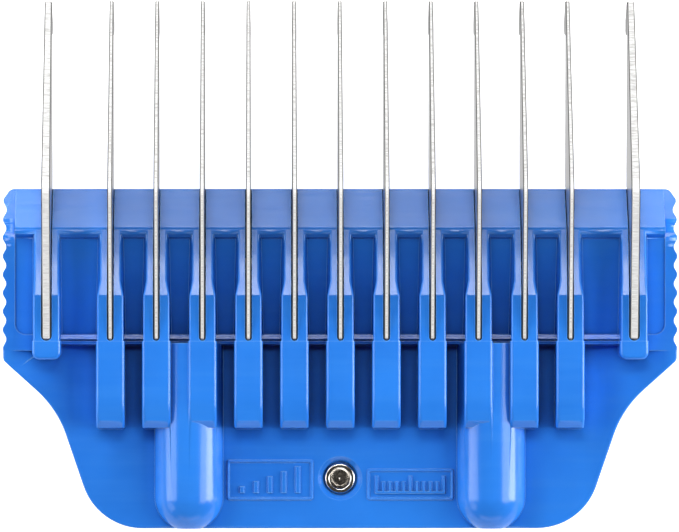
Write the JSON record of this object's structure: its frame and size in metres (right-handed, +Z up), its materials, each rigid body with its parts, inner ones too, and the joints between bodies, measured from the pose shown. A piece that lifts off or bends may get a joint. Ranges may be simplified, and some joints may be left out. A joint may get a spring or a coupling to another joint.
{
  "type": "clipper guard comb",
  "caption": "Clipper guard comb: moulded blue body with flat ribs, finger grips and long steel plate tines, with a sprung sliding latch that holds it on the clipper blade.",
  "frame": {"origin": "centre of the comb in plan, on the surface it rests on with its blade side down", "axes": "+X across the comb, +Y from the rear edge towards the tine tips, +Z up, away from the clipper blade"},
  "size_m": [0.07, 0.055, 0.0132],
  "materials": {
    "blue_plastic": "moulded semi-gloss with a fine grain",
    "tine_steel": "polished edges with fine cross-grinding marks",
    "rod_steel": "drawn wire",
    "slider_steel": "brushed stainless sheet",
    "spring_steel": "drawn spring wire",
    "rivet_nickel": "bright nickel plate"
  },
  "bodies": {
    "comb": {"comb_housing": "blue_plastic", "tine_01": "tine_steel", "tine_02": "tine_steel", "tine_03": "tine_steel", "tine_04": "tine_steel", "tine_05": "tine_steel", "tine_06": "tine_steel", "tine_07": "tine_steel", "tine_08": "tine_steel", "tine_09": "tine_steel", "tine_10": "tine_steel", "tine_11": "tine_steel", "tine_12": "tine_steel", "tine_13": "tine_steel", "tine_rod": "rod_steel", "rivet": "rivet_nickel", "washer": "rivet_nickel", "spring_left": "spring_steel", "spring_right": "spring_steel"},
    "latch": {"latch_slider": "slider_steel"}
  },
  "joints": [
    {"name": "latch_slide", "type": "slide", "parent": "comb", "child": "latch", "axis": [0, -1, 0], "range_m": [0, 0.003], "stiffness_N_per_m": 500, "springref_m": -0.002, "deforming": ["spring_left", "spring_right"]}
  ]
}
